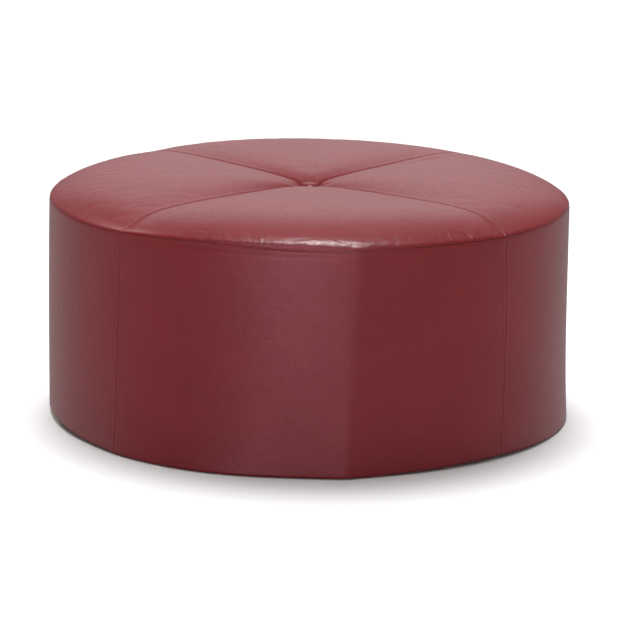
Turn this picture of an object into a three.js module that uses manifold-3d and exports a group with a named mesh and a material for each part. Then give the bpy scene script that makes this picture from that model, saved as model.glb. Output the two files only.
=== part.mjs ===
// Round drum ottoman. A leather cover, sewn from four top panels and four side panels and tufted
// with one covered button, is drawn over foam on a drum frame of plywood, pine and hardboard.
// Millimetres, +Z up. The origin is on the floor under the centre, and the front faces -Y.
// A bearing is an angle about Z measured from the front, positive towards +X.

import * as THREE from 'three';
import { mergeVertices } from 'three/addons/utils/BufferGeometryUtils.js';
import Module from 'manifold-3d';

const wasm = await Module();
wasm.setup();

const gap = 0.3; // clearance between pieces that touch
const sides = 48; // facets in a full circle
const holeSides = 8; // facets round a screw, its hole and other small round pieces
const degree = Math.PI / 180;

// Cover
const coverRadius = 450;
const rimHeight = 379; // seam between the top and the side, above the floor
const crownRise = 42; // dome of the top above the rim seam, before the button draws it down
const crownFlatness = 7.5; // the more, the nearer to the rim the shoulder starts
const crownPower = 0.75; // the less, the squarer the shoulder
const dimpleDepth = 28;
const dimpleSpread = 48;
const leather = 1.5;
const cornerRadius = 14; // where the side turns under the base
const hemWidth = 31;
const buttonHole = 5;

// Button: a size 45 covered button
const buttonRadius = 14.25;
const buttonRise = 6.5;
const buttonLeather = 0.9;
const shellMetal = 0.5;
const rolledEdge = 0.94; // a cap's mouth, as a share of its full radius
const edgeShare = 0.35; // height of that roll, as a share of the cap's rise
const eyeRadius = 3;
const eyeWire = 0.8;
const strandRadius = 0.9; // tufting twine
const strandOffset = 3;
const toggleRadius = 13;
const toggleThickness = 3;
const knotRadius = 4.5;

// Filling
const batting = 6;
const wrapFoam = 9.7;
const seatFoam = 53.4;
const twineHole = 6;

// Frame
const panelBoard = 15;
const hardboard = 3;
const postWidth = 45;
const postCount = 8;
const postBearing = 7.5 * degree; // the first post stands behind the cover's soft front ridge
const ringWidth = 80;
const skinCount = 4;
const skinLift = 1; // keeps the hardboard clear of the cover's turn
const deckTop = 325;
const stretcherHeight = 60;
const stretcherWidth = 20;
const stretcherOffset = 150;
const stretcherLength = 790;
const stretcherScrew = 240; // distance of its screws from the middle

// Base
const glideHeight = 5;
const glideRadius = 11;
const glideCount = 4;
const glideCircle = 392; // radius that the glides stand on
const glideBearing = 30 * degree;
const glideNail = 1.25; // radius of the nail moulded into a glide
const glideNailLength = 16;
const nailPlay = 0.4;
const dustCloth = 0.8;
const dustRadius = 428;

// Screws, 4 x 40 countersunk
const screwRadius = 2;
const screwHead = 4;
const screwHeadDepth = 3;
const screwLength = 40;
const screwTip = 4;
const screwRim = 0.4; // straight edge of the head
const screwPlay = 0.4;

// Levels and radii that follow from the sizes above
const dustBottom = glideHeight + gap;
const hemBottom = dustBottom + dustCloth + gap;
const hemTop = hemBottom + leather;
const ringBottom = hemTop + gap;
const ringTop = ringBottom + panelBoard;
const deckBottom = deckTop - panelBoard;
const seatBottom = deckTop + gap;
const seatTop = seatBottom + seatFoam;
const cornerLevel = hemBottom + cornerRadius;
const cornerCentre = coverRadius - cornerRadius;
const facetSag = coverRadius * (1 - Math.cos(Math.PI / sides)); // depth of a facet's flat
const wrapOuter = coverRadius - leather - gap;
const wrapInner = wrapOuter - wrapFoam;
const skinOuter = wrapInner - gap;
const skinInner = skinOuter - hardboard;
const frameRadius = skinInner - gap;
const postCorner = frameRadius - facetSag; // radius that a post's outer corners reach
const postCircle = Math.sqrt(postCorner ** 2 - (postWidth / 2) ** 2) - postWidth / 2;

const finishes = {
  leather: { color: 0x7d2f35, roughness: 0.42, metalness: 0 },
  foam: { color: 0xe9e2c9, roughness: 0.95, metalness: 0 },
  wadding: { color: 0xf3f2ee, roughness: 1, metalness: 0 },
  plywood: { color: 0xcda873, roughness: 0.7, metalness: 0 },
  pine: { color: 0xd9b883, roughness: 0.7, metalness: 0 },
  board: { color: 0x8b6236, roughness: 0.75, metalness: 0 },
  twine: { color: 0xd8cfae, roughness: 0.9, metalness: 0 },
  plastic: { color: 0x1c1c1e, roughness: 0.5, metalness: 0 },
  cloth: { color: 0x17181a, roughness: 0.95, metalness: 0 },
  steel: { color: 0xb9bcc0, roughness: 0.35, metalness: 1 },
};

const group = new THREE.Group();

// Bearings of pieces spaced evenly round the drum, from a first one.
function spread(count, first) {
  return Array.from({ length: count }, (_, i) => first + (2 * Math.PI * i) / count);
}

const postBearings = spread(postCount, postBearing);
const glideBearings = spread(glideCount, glideBearing);

function addPiece(name, geometry, finish, parent = group) {
  const mesh = new THREE.Mesh(geometry, new THREE.MeshStandardMaterial(finishes[finish]));
  mesh.name = name;
  parent.add(mesh);
  return mesh;
}

// Holder that turns its pieces to a bearing.
function turned(bearing) {
  const holder = new THREE.Group();
  holder.rotation.z = bearing;
  group.add(holder);
  return holder;
}

// Profiles are lists of (radius, height), counter-clockwise with radius to the right.
function point(radius, height) {
  return new THREE.Vector2(radius, height);
}

function rectangle(inner, outer, bottom, top) {
  return [point(inner, bottom), point(outer, bottom), point(outer, top), point(inner, top)];
}

function arc(centreRadius, centreHeight, radius, startAngle, endAngle, steps) {
  const points = [];
  for (let step = 0; step <= steps; step++) {
    const angle = startAngle + ((endAngle - startAngle) * step) / steps;
    points.push(point(centreRadius + radius * Math.cos(angle), centreHeight + radius * Math.sin(angle)));
  }
  return points;
}

// Full revolution about Z. The profile starts and ends on the axis, or is closed here as a ring.
function revolve(profile, segments = sides) {
  const outline = profile.slice();
  if (profile[0].x > 0) {
    outline.push(profile[0].clone());
  }
  return new THREE.LatheGeometry(outline, segments).rotateX(Math.PI / 2);
}

// Part of a revolution about Z, from one bearing to another, with its two ends closed.
function sweep(profile, startBearing, endBearing, steps) {
  const count = profile.length;
  const positions = [];
  const faces = [];
  for (let step = 0; step <= steps; step++) {
    const bearing = startBearing + ((endBearing - startBearing) * step) / steps;
    for (const corner of profile) {
      positions.push(corner.x * Math.sin(bearing), -corner.x * Math.cos(bearing), corner.y);
    }
  }
  for (let step = 0; step < steps; step++) {
    for (let i = 0; i < count; i++) {
      const near = step * count + i;
      const next = step * count + ((i + 1) % count);
      faces.push(next, near, near + count);
      faces.push(next, near + count, next + count);
    }
  }
  const end = steps * count;
  for (const [a, b, c] of THREE.ShapeUtils.triangulateShape(profile, [])) {
    faces.push(a, b, c);
    faces.push(end + a, end + c, end + b);
  }
  const geometry = new THREE.BufferGeometry();
  geometry.setAttribute('position', new THREE.Float32BufferAttribute(positions, 3));
  geometry.setIndex(faces);
  geometry.computeVertexNormals();
  return geometry;
}

function toSolid(geometry) {
  const bare = geometry.clone();
  bare.deleteAttribute('normal');
  bare.deleteAttribute('uv');
  const merged = mergeVertices(bare, 1e-4);
  const mesh = new wasm.Mesh({
    numProp: 3,
    vertProperties: new Float32Array(merged.attributes.position.array),
    triVerts: new Uint32Array(merged.index.array),
  });
  return new wasm.Manifold(mesh);
}

function toGeometry(solid) {
  const mesh = solid.getMesh();
  const geometry = new THREE.BufferGeometry();
  geometry.setAttribute('position', new THREE.Float32BufferAttribute(mesh.vertProperties, 3));
  geometry.setIndex(Array.from(mesh.triVerts));
  geometry.computeVertexNormals();
  return geometry;
}

function cut(geometry, cutters) {
  let solid = toSolid(geometry);
  for (const cutter of cutters) {
    solid = solid.subtract(toSolid(cutter));
  }
  return toGeometry(solid);
}

function atBearing(geometry, radius, bearing) {
  return geometry.clone().translate(0, -radius, 0).rotateZ(bearing);
}

// Upright cylinder: a disc, or the tool that bores a hole.
function cylinder(radius, bottom, top, segments = holeSides) {
  return revolve([point(0, bottom), point(radius, bottom), point(radius, top), point(0, top)], segments);
}

// Height of the cover's top above the rim seam.
function crownHeight(radius) {
  const fall = Math.max(0, 1 - (radius / coverRadius) ** crownFlatness);
  const dimple = dimpleDepth * Math.exp(-Math.max(0, radius - buttonRadius) / dimpleSpread);
  return crownRise * fall ** crownPower - dimple;
}

// Line of the top from a hole at its centre out to the rim, set a depth below the cover's face.
function crownLine(depth, holeRadius) {
  const steps = 9;
  const probe = 1e-4;
  const startTurn = Math.asin(holeRadius / coverRadius);
  const buttonTurn = Math.asin(buttonRadius / coverRadius);
  const turns = [startTurn];
  for (let step = 0; step <= steps; step++) {
    turns.push(buttonTurn + ((Math.PI / 2 - buttonTurn) * step) / steps);
  }
  return turns.map((turn) => {
    const place = (t) => {
      const radius = coverRadius * Math.sin(t);
      return point(radius, rimHeight + crownHeight(radius));
    };
    const here = place(turn);
    if (turn === startTurn) {
      return point(here.x, here.y - depth);
    }
    const ahead = turn < Math.PI / 2 ? place(turn + probe).sub(here).normalize() : point(0, -1);
    return point(here.x + ahead.y * depth, here.y - ahead.x * depth);
  });
}

// Cover: four panels on top and four round the side, each a quarter turn
function addCover() {
  const quarter = Math.PI / 4;
  const steps = sides / 4;
  const topProfile = crownLine(leather, buttonHole).concat(crownLine(0, buttonHole).reverse());
  const sideTop = rimHeight - gap;
  const hemInner = cornerCentre - hemWidth;
  const sideProfile = [
    point(hemInner, hemBottom),
    ...arc(cornerCentre, cornerLevel, cornerRadius, -Math.PI / 2, 0, 4),
    point(coverRadius, sideTop),
    point(coverRadius - leather, sideTop),
    ...arc(cornerCentre, cornerLevel, cornerRadius - leather, 0, -Math.PI / 2, 4),
    point(hemInner, hemTop),
  ];
  const outward = gap / 2 / Math.sin(quarter); // leaves one gap along every seam
  ['front', 'right', 'back', 'left'].forEach((place, turn) => {
    const holder = turned(turn * 2 * quarter);
    const top = addPiece(
      `top_panel_${place}`, sweep(topProfile, -quarter, quarter, steps), 'leather', holder,
    );
    const side = addPiece(
      `side_panel_${place}`, sweep(sideProfile, -quarter, quarter, steps), 'leather', holder,
    );
    top.position.y = -outward;
    side.position.y = -outward;
  });
}

// Cap with a domed top, a rolled edge and a hollow underside.
function domedCap(radius, bottom, rise, thickness) {
  const edge = rise * edgeShare;
  const steps = 5;
  const outline = (inset) => {
    const points = [point(radius * rolledEdge - inset, bottom)];
    for (let step = 0; step <= steps; step++) {
      const angle = (Math.PI * step) / 2 / steps;
      const reach = (radius - inset) * Math.cos(angle);
      points.push(point(step < steps ? reach : 0, bottom + edge + (rise - edge - inset) * Math.sin(angle)));
    }
    return points;
  };
  return revolve(outline(thickness).reverse().concat(outline(0)), 24);
}

function addButton() {
  const seat = rimHeight + crownHeight(0) + gap;
  const shellRadius = buttonRadius - buttonLeather - gap;
  addPiece('button_cover', domedCap(buttonRadius, seat, buttonRise, buttonLeather), 'leather');
  addPiece(
    'button_shell', domedCap(shellRadius, seat, buttonRise - buttonLeather - gap, shellMetal), 'steel',
  );

  const plateRadius = shellRadius * rolledEdge - shellMetal - gap;
  const plateThickness = 1;
  const eyeCentre = seat - eyeRadius + eyeWire / 2;
  const plate = toSolid(cylinder(plateRadius, seat, seat + plateThickness, 24));
  const eye = new THREE.TorusGeometry(eyeRadius, eyeWire, 6, 16).rotateX(Math.PI / 2);
  eye.translate(0, 0, eyeCentre);
  addPiece('button_back', toGeometry(plate.add(toSolid(eye))), 'steel');

  const turnLevel = eyeCentre - eyeRadius + eyeWire + gap + strandRadius - strandOffset;
  const toggleTop = deckBottom - gap;
  const toggleBottom = toggleTop - toggleThickness;
  const twineEnd = toggleBottom - gap;
  addPiece('tufting_twine', twineLoop(twineEnd, turnLevel), 'twine');

  const toggle = cylinder(toggleRadius, toggleBottom, toggleTop, 24);
  const toggleHole = cylinder(strandRadius + gap, toggleBottom - 1, toggleTop + 1);
  addPiece(
    'twine_toggle',
    cut(toggle, [atBearing(toggleHole, strandOffset, 0), atBearing(toggleHole, -strandOffset, 0)]),
    'plastic',
  );
  const knot = new THREE.SphereGeometry(knotRadius, 10, 7).rotateX(Math.PI / 2);
  addPiece('twine_knot', knot, 'twine').position.z = twineEnd - gap - knotRadius;
}

// Line that runs up one side, through the button's eye, and down the other side.
class HairpinCurve extends THREE.Curve {
  constructor(bottom, turnLevel) {
    super();
    this.bottom = bottom;
    this.turnLevel = turnLevel;
  }

  getPoint(t, target = new THREE.Vector3()) {
    const leg = 0.2; // share of the steps on each straight run
    const run = this.turnLevel - this.bottom;
    if (t <= leg) {
      return target.set(0, -strandOffset, this.bottom + (run * t) / leg);
    }
    if (t >= 1 - leg) {
      return target.set(0, strandOffset, this.bottom + (run * (1 - t)) / leg);
    }
    const angle = (Math.PI * (t - leg)) / (1 - 2 * leg);
    const height = this.turnLevel + strandOffset * Math.sin(angle);
    return target.set(0, -strandOffset * Math.cos(angle), height);
  }

  // Steps are spread by parameter, so that the tight turn gets most of them.
  getUtoTmapping(u) {
    return u;
  }
}

function twineLoop(bottom, turnLevel) {
  const section = new THREE.Shape();
  section.absarc(0, 0, strandRadius, 0, 2 * Math.PI);
  return new THREE.ExtrudeGeometry(section, {
    curveSegments: 4,
    steps: 15,
    extrudePath: new HairpinCurve(bottom, turnLevel),
  });
}

function addFilling() {
  const battingTop = leather + gap;
  const battingBottom = battingTop + batting;
  const battingProfile = crownLine(battingBottom, twineHole).concat(
    crownLine(battingTop, twineHole).reverse(),
  );
  addPiece('top_batting', revolve(battingProfile), 'wadding');
  const crownTop = crownLine(battingBottom + gap, twineHole).reverse();
  const foamRadius = wrapInner - gap;
  const crownBottom = seatTop + gap;
  const crownProfile = [point(twineHole, crownBottom), point(foamRadius, crownBottom)];
  for (const corner of crownTop) {
    crownProfile.push(point(Math.min(corner.x, foamRadius), corner.y));
  }
  addPiece('crown_foam', revolve(crownProfile), 'foam');
  addPiece('seat_foam', revolve(rectangle(twineHole, foamRadius, seatBottom, seatTop)), 'foam');

  const wrapCorner = cornerRadius - leather - gap;
  const wrapStart = -Math.acos((wrapInner - cornerCentre) / wrapCorner);
  const wrapProfile = [
    ...arc(cornerCentre, cornerLevel, wrapCorner, wrapStart, 0, 4),
    point(wrapOuter, rimHeight - gap),
    point(wrapInner, rimHeight - gap),
  ];
  const joint = gap / 2 / wrapInner; // the strip's ends butt together at the back
  addPiece('side_foam_wrap', sweep(wrapProfile, joint - Math.PI, Math.PI - joint, sides), 'foam');
}

// Countersunk screw with its head's face at the top and its point down.
function screwGeometry() {
  return revolve([
    point(0, -screwLength),
    point(screwRadius, screwTip - screwLength),
    point(screwRadius, -screwHeadDepth),
    point(screwHead, -screwRim),
    point(screwHead, 0),
    point(0, 0),
  ], holeSides);
}

// Room for that screw, with a little play all round.
function screwRoom() {
  return revolve([
    point(0, -screwLength - 1),
    point(screwRadius + screwPlay, -screwLength - 1),
    point(screwRadius + screwPlay, -screwHeadDepth - screwPlay),
    point(screwHead + screwPlay, -screwRim),
    point(screwHead + screwPlay, 1),
    point(0, 1),
  ], holeSides);
}

function addFrame() {
  const down = (geometry, level) => geometry.translate(0, 0, level);
  const up = (geometry, level) => geometry.rotateX(Math.PI).translate(0, 0, level);
  const stretcherSpots = [];
  for (const x of [-stretcherOffset, stretcherOffset]) {
    for (const y of [-stretcherScrew, stretcherScrew]) {
      stretcherSpots.push([x, y]);
    }
  }

  const deckCuts = postBearings.map((bearing) => atBearing(down(screwRoom(), deckTop), postCircle, bearing));
  for (const [x, y] of stretcherSpots) {
    deckCuts.push(down(screwRoom(), deckTop).translate(x, y, 0));
  }
  deckCuts.push(cylinder(twineHole, deckBottom - 1, deckTop + 1));
  addPiece('deck', cut(cylinder(frameRadius, deckBottom, deckTop, sides), deckCuts), 'plywood');

  const ringCuts = postBearings.map((bearing) => atBearing(up(screwRoom(), ringBottom), postCircle, bearing));
  const nailHole = cylinder(glideNail + nailPlay, 0, glideHeight + glideNailLength + 1);
  ringCuts.push(...glideBearings.map((bearing) => atBearing(nailHole, glideCircle, bearing)));
  const ring = revolve(rectangle(frameRadius - ringWidth, frameRadius, ringBottom, ringTop));
  addPiece('base_ring', cut(ring, ringCuts), 'plywood');

  const postBottom = ringTop + gap;
  const postTop = deckBottom - gap;
  const post = new THREE.BoxGeometry(postWidth, postWidth, postTop - postBottom);
  post.translate(0, 0, (postTop + postBottom) / 2);
  const drilledPost = cut(post, [down(screwRoom(), deckTop), up(screwRoom(), ringBottom)]);
  postBearings.forEach((bearing, i) => {
    const holder = turned(bearing);
    addPiece(`post_${i + 1}`, drilledPost.clone(), 'pine', holder).position.y = -postCircle;
    const deckScrew = addPiece(`deck_screw_${i + 1}`, screwGeometry(), 'steel', holder);
    deckScrew.position.set(0, -postCircle, deckTop);
    const baseScrew = addPiece(`base_screw_${i + 1}`, screwGeometry(), 'steel', holder);
    baseScrew.rotation.x = Math.PI;
    baseScrew.position.set(0, -postCircle, ringBottom);
  });

  const stretcherTop = deckBottom - gap;
  const stretcher = new THREE.BoxGeometry(stretcherWidth, stretcherLength, stretcherHeight);
  stretcher.translate(0, 0, stretcherTop - stretcherHeight / 2);
  const stretcherCuts = stretcherSpots
    .filter(([x]) => x > 0)
    .map(([, y]) => down(screwRoom(), deckTop).translate(0, y, 0));
  const drilledStretcher = cut(stretcher, stretcherCuts);
  addPiece('deck_stretcher_left', drilledStretcher, 'pine').position.x = -stretcherOffset;
  addPiece('deck_stretcher_right', drilledStretcher.clone(), 'pine').position.x = stretcherOffset;
  stretcherSpots.forEach(([x, y], i) => {
    addPiece(`stretcher_screw_${i + 1}`, screwGeometry(), 'steel').position.set(x, y, deckTop);
  });

  const skinHalf = Math.PI / skinCount - gap / skinInner;
  const skinProfile = rectangle(skinInner, skinOuter, ringBottom + skinLift, deckTop);
  for (let i = 0; i < skinCount; i++) {
    const holder = turned(postBearing + ((2 * i + 1) * Math.PI) / skinCount);
    const skin = sweep(skinProfile, -skinHalf, skinHalf, sides / skinCount);
    addPiece(`skin_panel_${i + 1}`, skin, 'board', holder);
  }
}

function addBase() {
  const nailHole = cylinder(glideNail + nailPlay, 0, hemTop);
  const glide = [
    point(0, 0),
    point(glideRadius - 2, 0),
    point(glideRadius, 1.2),
    point(glideRadius, glideHeight - 0.8),
    point(glideRadius - 1, glideHeight),
    point(glideNail, glideHeight),
    point(glideNail, glideHeight + glideNailLength - 2),
    point(0, glideHeight + glideNailLength),
  ];
  glideBearings.forEach((bearing, i) => {
    addPiece(`glide_${i + 1}`, revolve(glide, 16), 'plastic', turned(bearing)).position.y = -glideCircle;
  });
  const cloth = cylinder(dustRadius, dustBottom, dustBottom + dustCloth, sides);
  const nailHoles = glideBearings.map((bearing) => atBearing(nailHole, glideCircle, bearing));
  addPiece('dust_cover', cut(cloth, nailHoles), 'cloth');
}

addCover();
addButton();
addFilling();
addFrame();
addBase();

export default group;
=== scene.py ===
# Looks of the round leather ottoman: its leather cover, seams, button and base, built round the CAD frame.
# Metres, +Z up, the front faces -Y. A bearing is an angle about Z from the front, positive towards +X.

import bpy
import numpy as np
from math import cos, pi, radians, sin
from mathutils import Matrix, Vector


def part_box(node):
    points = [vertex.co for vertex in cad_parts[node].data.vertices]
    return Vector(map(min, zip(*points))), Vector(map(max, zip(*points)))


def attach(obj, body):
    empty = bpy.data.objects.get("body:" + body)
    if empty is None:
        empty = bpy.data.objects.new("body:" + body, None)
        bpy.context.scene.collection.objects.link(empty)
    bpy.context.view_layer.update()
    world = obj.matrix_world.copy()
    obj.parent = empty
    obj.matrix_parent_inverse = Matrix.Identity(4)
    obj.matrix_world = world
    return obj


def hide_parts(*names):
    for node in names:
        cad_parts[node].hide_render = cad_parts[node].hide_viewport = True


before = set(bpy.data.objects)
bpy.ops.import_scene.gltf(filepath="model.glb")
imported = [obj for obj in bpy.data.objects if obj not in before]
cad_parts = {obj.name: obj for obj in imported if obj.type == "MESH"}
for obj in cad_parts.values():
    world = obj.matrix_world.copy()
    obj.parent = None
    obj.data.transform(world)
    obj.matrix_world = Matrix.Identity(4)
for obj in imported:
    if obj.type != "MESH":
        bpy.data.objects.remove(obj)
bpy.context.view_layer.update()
rng = np.random.default_rng(7)

# ---------------------------------------------------------------- sizes
MM = 0.001
side_low, side_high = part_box("side_panel_front")
RADIUS = -side_low.y - 0.2 * MM  # the cover's radius at the rim seam
RIM = side_high.z + 0.15 * MM  # height of the rim seam
BASE = side_low.z  # underside of the turned hem
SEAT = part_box("button_cover")[0].z  # the leather under the button
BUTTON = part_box("button_cover")[1].x  # its radius
CROWN = 42 * MM  # height of the crown over the rim seam
DIMPLE = RIM + CROWN - SEAT  # its depth at the button
DIMPLE_SPREAD = 48 * MM  # how far it reaches, at least
CORNER = 4.5 * MM  # where the side turns under
HEM = 31 * MM
THICK = 1.3 * MM  # of the leather
QUARTER = pi / 2
PLACES = ("front", "right", "back", "left")

# Depth in millimetres of the valley that each cross seam pulls into the crown, near the button and near
# the rim, by the seam's bearing
VALLEYS = {-45: (15.5, 15.5), 45: (10.5, 5), 135: (10, 0), 225: (10, 4)}


# ---------------------------------------------------------------- shape
def smooth(x, low, high):
    """0 below low, 1 above high, and a smooth step between."""
    t = np.clip((x - low) / (high - low), 0, 1)
    return t * t * (3 - 2 * t)


def bell(x, centre, width):
    return np.exp(-(((x - centre) / width) ** 2))


def wrap(angle):
    """Angle in degrees brought into -180 to 180."""
    return (angle + 180) % 360 - 180


def waves(bearing, seed, count, low, high):
    """Smooth random unevenness round the drum, about -1 to 1. bearing is in degrees."""
    draw = np.random.default_rng(seed)
    total = 0
    for k in draw.integers(low, high, count):
        total = total + np.cos(np.radians(bearing) * k + draw.uniform(0, 2 * pi)) * draw.uniform(0.5, 1)
    return total / count


def bearings(count):
    """Evenly spaced bearings, once right round the drum."""
    return np.linspace(-180, 180, count + 1)[:-1]


def seam_near(bearing):
    """The bearing of the cross seam nearest to each point, and how near it is: 0 mid-panel, 1 at the seam."""
    middle = 90 * np.round(bearing / 90)
    off = wrap(bearing - middle) / 45
    seam = (middle + np.where(off > 0, 45, -45) + 405) % 360 - 45
    return seam, np.abs(off)


def valley_depth(bearing, reach, height, from_button):
    """How far each panel sinks towards its two seams, which makes a pillow of it."""
    seam, near = seam_near(bearing)
    inner, outer = (sum(v[i] * (seam == s) for s, v in VALLEYS.items()) * MM for i in (0, 1))
    depth = inner + (outer - inner) * smooth(reach, 0.35, 1)
    away_from_rim = 1 - np.exp(-((height / (12 * MM)) ** 2))
    away_from_button = 1 - np.exp(-from_button / (21 * MM))
    return depth * away_from_rim * away_from_button * near**3


def dimple_share(bearing, from_button):
    """The dimple round the button: one long slope in front, and behind a short steep one in a shallow one."""
    behind = 0.5 - 0.5 * np.cos(np.radians(bearing))
    steep = 0.4 * behind * np.exp(-from_button / (12 * MM))
    spread = DIMPLE_SPREAD + (16 + 12 * behind) * MM
    return steep + (1 - 0.4 * behind) * np.exp(-from_button / spread)


def shoulder_overhang(bearing, height):
    """How far the shoulder stands out over the rim seam: most, and highest up, along the front."""
    tall = bell(wrap(bearing - 6), 0, 13)
    over = MM * (0.5 + 2.1 * bell(wrap(bearing), 0, 24) + 2.5 * tall)
    rise, fall = (8 + 8 * tall) * MM, (11 + 8 * tall) * MM
    return over * smooth(height, 0, rise) * (1 - smooth(height, fall, fall + 21 * MM))


def crown_base(turn, bearing):
    """Radius and height of the crown's smooth surface. turn is 0 in the middle and pi/2 at the rim seam."""
    radius = RADIUS * np.sin(turn)
    reach = np.clip(radius / RADIUS, 0, 1)
    lengthways = np.cos(np.radians(bearing)) ** 2  # 1 at the front and back, 0 at the two sides
    forward = bell(wrap(bearing), 0, 32)
    flatness = 6.5 + 2.2 * lengthways + 2.3 * forward  # the more, the nearer to the rim the shoulder starts
    height = CROWN * (1 - reach**flatness) ** (0.8 - 0.1 * lengthways + 0.08 * forward)
    from_button = np.clip(radius - BUTTON, 0, None)
    valley = valley_depth(bearing, reach, height, from_button)
    height = height - DIMPLE * dimple_share(bearing, from_button) - valley
    radius = radius + shoulder_overhang(bearing, height)
    radius = radius + (side_radius(bearing, 1.0) - RADIUS) * smooth(reach, 0.9, 1)
    # unevenness of the stuffing
    height = height + 1.2 * MM * waves(bearing, 3, 5, 2, 7) * np.sin(pi * reach)
    return radius, RIM + rim_lift(bearing) * smooth(reach, 0.85, 1) + height


def rim_lift(bearing):
    """How far the rim seam wanders up and down."""
    return MM * (
        3.2 * bell(wrap(bearing + 21), 0, 16) - 3.4 * bell(wrap(bearing + 55), 0, 12)
        - 1.9 * bell(wrap(bearing - 9), 0, 6) - 1.6 * bell(wrap(bearing - 46), 0, 9)
        + 2.2 * bell(wrap(bearing - 75), 0, 8) - 3 * bell(wrap(bearing + 157), 0, 16)
        + 1.6 * bell(wrap(bearing - 133), 0, 14) + 0.8 * waves(bearing, 5, 4, 3, 9)
    )


def hem_level(bearing):
    """Height of the side's lowest edge, which all but touches the floor, save at the left and the right."""
    left = 8 * bell(wrap(bearing + 80), 0, 22)
    right = 4.5 * bell(wrap(bearing - 40), 0, 22)
    return MM * (1.2 + left + right + 0.3 * waves(bearing, 9, 5, 2, 9))


def ridge(bearing, level):
    """The soft upright ridge where the hardboard ends over a post; level is 0 at the base, 1 at the rim."""
    off = wrap(bearing - 7.3 - 2.2 * level)
    size = (10 - 6 * level) * MM
    spread = np.where(off < 0, 7.5, 6.0)
    return size * np.exp(-(np.sqrt(off**2 + 1.1**2) - 1.1) / spread)


def side_radius(bearing, level):
    """Radius of the side, from the base at level 0 to the rim seam at level 1."""
    radius = RADIUS + 0.4 * MM * (1 - level)
    radius = radius + ridge(bearing, level)
    # the base flares out a little in four places
    radius = radius + 2.5 * MM * bell(wrap(bearing - 55), 0, 12) * (1 - level) ** 1.5
    radius = radius + 9 * MM * bell(wrap(bearing + 26), 0, 18) * (1 - level) ** 6
    radius = radius + 3 * MM * bell(wrap(bearing + 43), 0, 7) * (1 - level) ** 2
    radius = radius + 7.5 * MM * bell(wrap(bearing - 80), 0, 20) * (1 - level) ** 4
    # under the rim the seam pulls the leather in, and at the left of the front a groove runs along it
    radius = radius - 0.4 * MM * smooth(level, 0.966, 1.0)
    groove = 2.6 * bell(wrap(bearing + 12), 0, 20)
    radius = radius - groove * MM * bell(level, 0.984, 0.013)
    belly = 1.2 * MM * np.sin(pi * level) + 1.1 * MM * waves(bearing, 11, 6, 2, 8) * np.sin(pi * level)
    return radius + belly


def seam_drift(bearing, level):
    """Degrees that the two front side seams lean off their true bearings."""
    left = (0.8 * level - 0.3 * (1 - level)) * bell(wrap(bearing + 45), 0, 10)
    right = (-0.4 + 0.5 * np.sin(pi * level)) * bell(wrap(bearing - 45), 0, 10)
    return left + right


def crown_points(turn, bearing):
    """The crown's smooth surface, whose seams meet the side's at the rim."""
    radius, height = crown_base(turn, bearing)
    drift = seam_drift(bearing, 1.0) * smooth(np.sin(turn), 0.8, 1)
    return place(radius, bearing + drift, height)


def place(radius, bearing, height):
    """Points at a radius, a bearing and a height; each is an array or one value."""
    angle = np.radians(bearing)
    return np.stack(np.broadcast_arrays(radius * np.sin(angle), -radius * np.cos(angle), height), -1)


def normals(points):
    """Outward normals of a grid whose rows run outward and down and whose columns run to greater bearings."""
    down = np.gradient(points, axis=0)
    across = np.gradient(points, axis=1)
    n = np.cross(down, across)
    return n / np.linalg.norm(n, axis=-1, keepdims=True)


def creases(bearing, from_rim, marks):
    """Sum of soft ridges, by bearing and distance from the rim seam.

    A mark is (bearing, distance from the rim, lean from upright, length, width, height)."""
    total = np.zeros_like(bearing)
    for at, middle, lean, length, width, height in marks:
        across = np.radians(wrap(bearing - at)) * RADIUS
        if np.abs(across).min() > 60 * MM:
            continue
        along = from_rim - middle
        run = along * cos(lean) + across * sin(lean)
        off = across * cos(lean) - along * sin(lean)
        total += height * np.exp(-((off / width) ** 2)) * np.exp(-((np.abs(run) / length) ** 3))
    return total


# ---------------------------------------------------------------- seams in section
STITCH = 4.5 * MM  # from one stitch to the next
ROLL = 1.5 * MM  # radius of the fold where the leather turns down into a seam
SHARP_ROLL = 0.75 * MM  # radius of the two folds at the rim seam
SEAM_GAP = 0.6 * MM  # between those two
# distances from a seam of the first rows or columns of points
EDGE = np.array([0.15, 0.3, 0.6, 1.0, 1.5, 2.2, 3.2, 4.6, 6.4, 8.6, 11.4, 15]) * MM
FLANGE = np.array([1.2, 3.2, 6.5]) * MM  # depth of the turned allowance, past the fold


def seam_section(distance, roll):
    """Height of the leather beside a seam: the fold, and the ridge over the pressed allowance."""
    fold = np.clip(roll - distance, 0, roll)
    drop = roll - np.sqrt(np.clip(roll**2 - fold**2, 0, None))
    allowance = 0.45 * MM * bell(distance, 5.5 * MM, 3.2 * MM)
    draw = 0.6 * MM * np.exp(-distance / (14 * MM))
    return allowance - drop - draw


def spaced(length, interior):
    """Distances across a strip of each given length: close together by both edges, even between."""
    length = np.asarray(length, float)[:, None]
    scale = np.minimum(1, length / (3.2 * EDGE[-1]))
    near = EDGE[None, :] * scale
    start, end = near[:, -1:], length - near[:, -1:]
    middle = start + (end - start) * np.linspace(0, 1, interior + 1)[None, 1:-1]
    return np.concatenate([near, middle, (length - near)[:, ::-1]], 1)


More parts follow.
